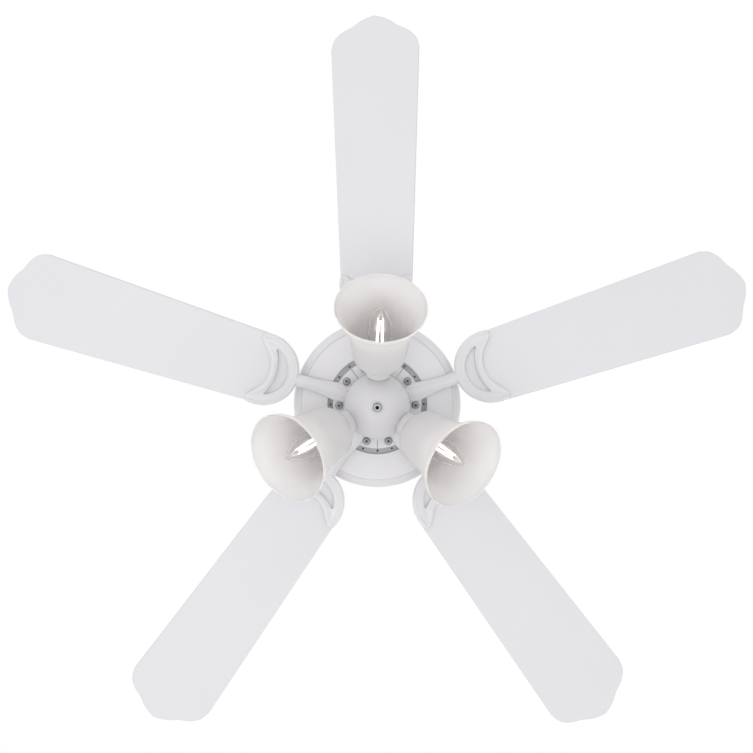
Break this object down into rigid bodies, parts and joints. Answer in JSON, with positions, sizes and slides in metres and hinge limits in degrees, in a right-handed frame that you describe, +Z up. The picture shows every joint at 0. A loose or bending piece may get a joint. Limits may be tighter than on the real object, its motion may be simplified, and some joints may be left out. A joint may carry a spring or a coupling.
{
  "type": "ceiling fan with light",
  "caption": "Ceiling fan with straight wooden blades on moon-shaped irons, a domed motor housing hung on a downrod, and a light kit of bell glass shades.",
  "frame": {"origin": "centre of the hanger bracket's face against the ceiling", "axes": "+Z up out of the ceiling face along the fan's axis; the bracket's two screw slots lie along X; one blade points along +Y"},
  "size_m": [1.0172, 0.9744, 0.4952],
  "materials": {
    "white_enamel": "smooth white powder coat, satin",
    "blade_white": "board faced with matt white foil",
    "frosted_glass": "white frosted, etched inside",
    "clear_glass": "clear and thin",
    "zinc_steel": "zinc plated",
    "bare_steel": "bare turned steel",
    "cast_aluminium": "as cast, faced on a lathe",
    "laminations": "stacked steel laminations",
    "copper_wire": "varnished copper windings",
    "nickel_cap": "nickel plated screw cap",
    "filament": "glowing warm white",
    "white_plastic": "fine matt moulding",
    "black_plastic": "fine matt moulding"
  },
  "bodies": {
    "ceiling_mount": {"hanger_bracket": "zinc_steel", "canopy": "white_enamel", "canopy_screws": "white_enamel", "remote_receiver": "white_plastic"},
    "hanging_fan": {"downrod": "white_enamel", "coupling_cover": "white_enamel", "housing_upper": "white_enamel", "housing_lower": "white_enamel", "switch_housing": "white_enamel", "light_hub": "white_enamel", "light_hub_screws": "white_enamel", "lamp_cup_1": "white_enamel", "lamp_cup_2": "white_enamel", "lamp_cup_3": "white_enamel", "glass_shade_1": "frosted_glass", "glass_shade_2": "frosted_glass", "glass_shade_3": "frosted_glass", "bulb_glass_1": "clear_glass", "bulb_glass_2": "clear_glass", "bulb_glass_3": "clear_glass", "finial": "zinc_steel", "ball_pin": "zinc_steel", "coupling": "zinc_steel", "coupling_pin": "zinc_steel", "coupling_cotter": "zinc_steel", "housing_screws": "zinc_steel", "switch_plate": "zinc_steel", "motor_shaft": "bare_steel", "stator_core": "laminations", "stator_windings": "copper_wire", "bulb_base_1": "nickel_cap", "bulb_base_2": "nickel_cap", "bulb_base_3": "nickel_cap", "bulb_filaments": "filament", "shade_rings": "white_plastic", "lampholder_1": "white_plastic", "lampholder_2": "white_plastic", "lampholder_3": "white_plastic", "hanger_ball": "black_plastic", "capacitor": "black_plastic", "reverse_switch": "black_plastic"},
    "rotor": {"bearings": "bare_steel", "rotor_top": "cast_aluminium", "rotor_ring": "bare_steel", "rotor_bottom": "cast_aluminium", "rotor_bolts": "zinc_steel", "blade_screws": "zinc_steel", "blade_washers": "white_plastic", "iron_screws": "zinc_steel", "blade_1": "blade_white", "blade_2": "blade_white", "blade_3": "blade_white", "blade_4": "blade_white", "blade_5": "blade_white", "blade_iron_1": "white_enamel", "blade_iron_2": "white_enamel", "blade_iron_3": "white_enamel", "blade_iron_4": "white_enamel", "blade_iron_5": "white_enamel"},
    "switch_slider": {"reverse_switch_knob": "black_plastic"}
  },
  "joints": [
    {"name": "ball_swing", "type": "hinge", "parent": "ceiling_mount", "child": "hanging_fan", "pos_m": [0, 0, -0.048], "axis": [1, 0, 0], "range_deg": [-10, 10]},
    {"name": "rotor_spin", "type": "hinge", "parent": "hanging_fan", "child": "rotor", "pos_m": [0, 0, -0.262], "axis": [0, 0, 1], "continuous": true},
    {"name": "reverse_switch_slide", "type": "slide", "parent": "hanging_fan", "child": "switch_slider", "axis": [0, 0, 1], "range_m": [0, 0.004]}
  ]
}
